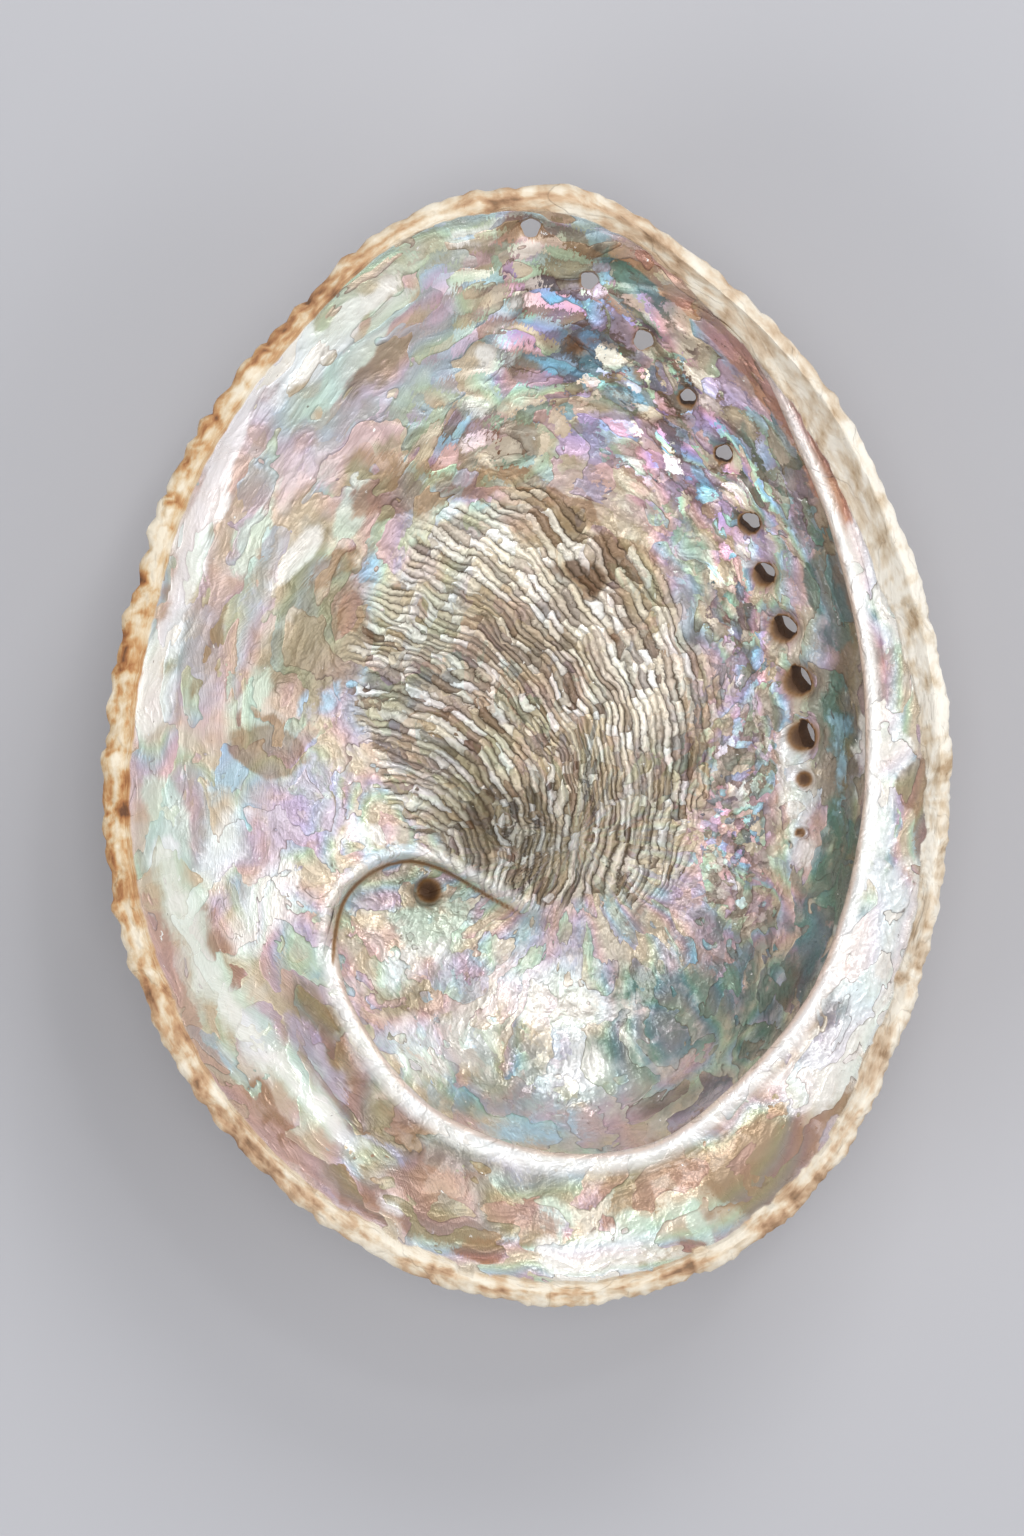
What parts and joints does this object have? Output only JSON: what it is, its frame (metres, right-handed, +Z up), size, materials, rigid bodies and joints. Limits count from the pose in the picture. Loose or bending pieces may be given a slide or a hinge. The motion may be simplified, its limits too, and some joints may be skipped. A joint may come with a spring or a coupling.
{
  "type": "abalone shell",
  "caption": "Ear-shaped sea shell lying on its back: a deep bowl with a row of breathing pores, a ridged muscle scar, a low coiled spire and a broad inner shelf that ends in a rounded lip",
  "frame": {"origin": "centre of the footprint, at the height of the surface that the shell's back rests on", "axes": "+Y towards the end with the newest pore, +X towards the shelf and the row of pores, +Z up out of the opening"},
  "size_m": [0.1216, 0.1606, 0.0421],
  "materials": {
    "shell": "glossy nacre in shifting pastel colours inside, chalky cream and rust brown outside"
  },
  "bodies": {
    "root": {"shell": "shell"}
  },
  "joints": []
}
